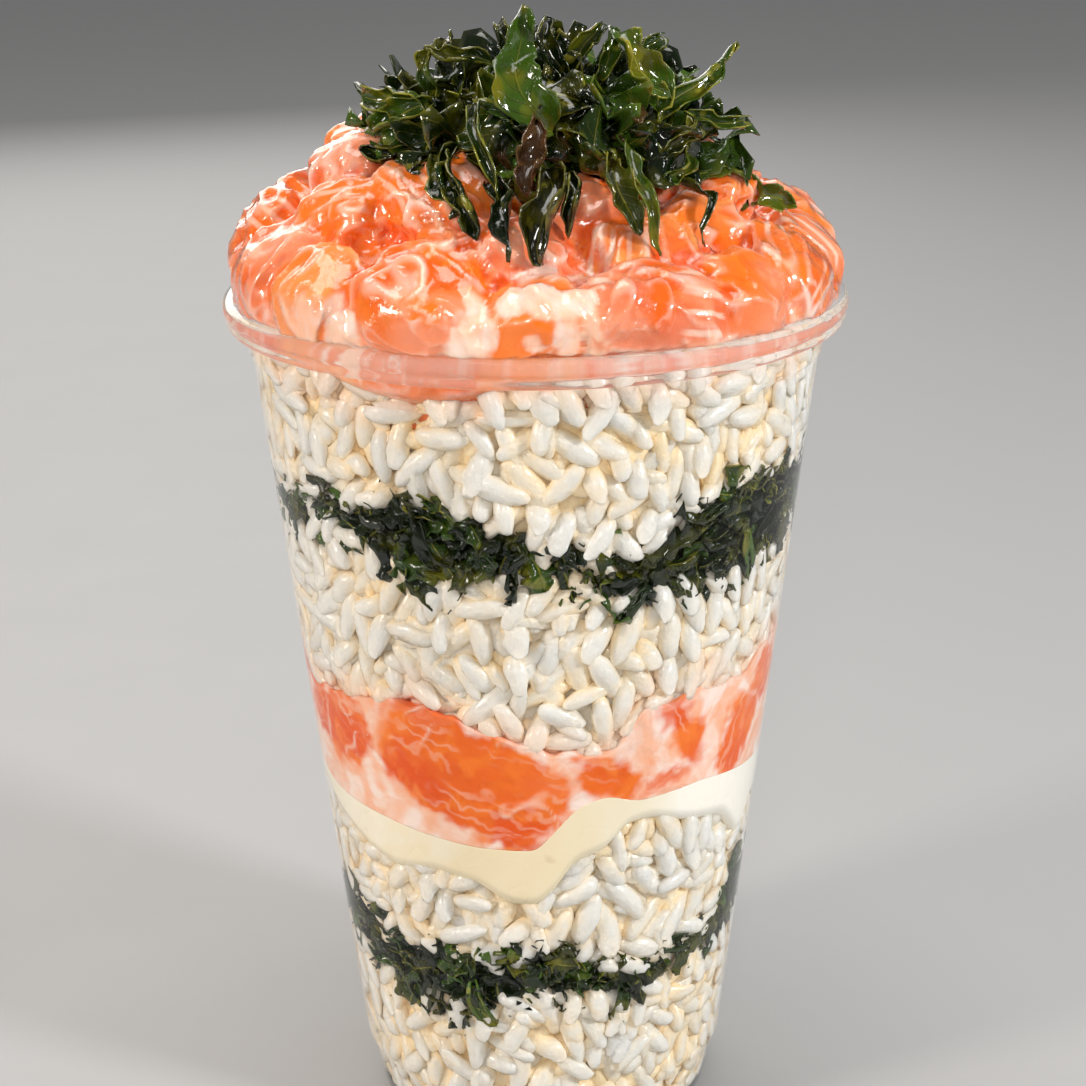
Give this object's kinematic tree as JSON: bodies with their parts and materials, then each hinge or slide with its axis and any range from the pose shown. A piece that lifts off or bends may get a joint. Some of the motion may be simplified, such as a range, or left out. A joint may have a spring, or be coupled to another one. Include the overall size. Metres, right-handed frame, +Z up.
{
  "type": "sushi cup",
  "caption": "Clear tapered cup filled with layers of rice, leafy greens, cream sauce and salmon, heaped with diced salmon and crowned with crisp leaves.",
  "frame": {"origin": "centre of the cup's foot, on the surface that it stands on", "axes": "+Z up along the cup's axis; the side shown in the picture faces -Y; +X is to the right of that side"},
  "size_m": [0.0986, 0.098, 0.1845],
  "materials": {
    "cup_plastic": "clear smooth plastic",
    "rice": "moist cooked rice grains",
    "greens": "oily dark green crisp leaf",
    "cream": "smooth pale cream sauce",
    "salmon": "wet marbled salmon in cream"
  },
  "bodies": {
    "root": {"cup": "cup_plastic", "rice_bottom": "rice", "greens_lower": "greens", "rice_lower": "rice", "cream_sauce": "cream", "salmon_layer": "salmon", "rice_upper": "rice", "greens_upper": "greens", "rice_top": "rice", "salmon_heap": "salmon", "salmon_die_01": "salmon", "salmon_die_02": "salmon", "salmon_die_03": "salmon", "salmon_die_04": "salmon", "salmon_die_05": "salmon", "salmon_die_06": "salmon", "salmon_die_07": "salmon", "salmon_die_08": "salmon", "salmon_die_09": "salmon", "salmon_die_10": "salmon", "salmon_die_11": "salmon", "salmon_die_12": "salmon", "salmon_die_13": "salmon", "salmon_die_14": "salmon", "salmon_die_15": "salmon", "salmon_die_16": "salmon", "salmon_die_17": "salmon", "salmon_die_18": "salmon", "salmon_die_19": "salmon", "salmon_die_20": "salmon", "salmon_die_21": "salmon", "salmon_die_22": "salmon", "salmon_die_23": "salmon", "salmon_die_24": "salmon", "salmon_die_25": "salmon", "salmon_die_26": "salmon", "salmon_die_27": "salmon", "salmon_die_28": "salmon", "leaf_crown": "greens"}
  },
  "joints": []
}
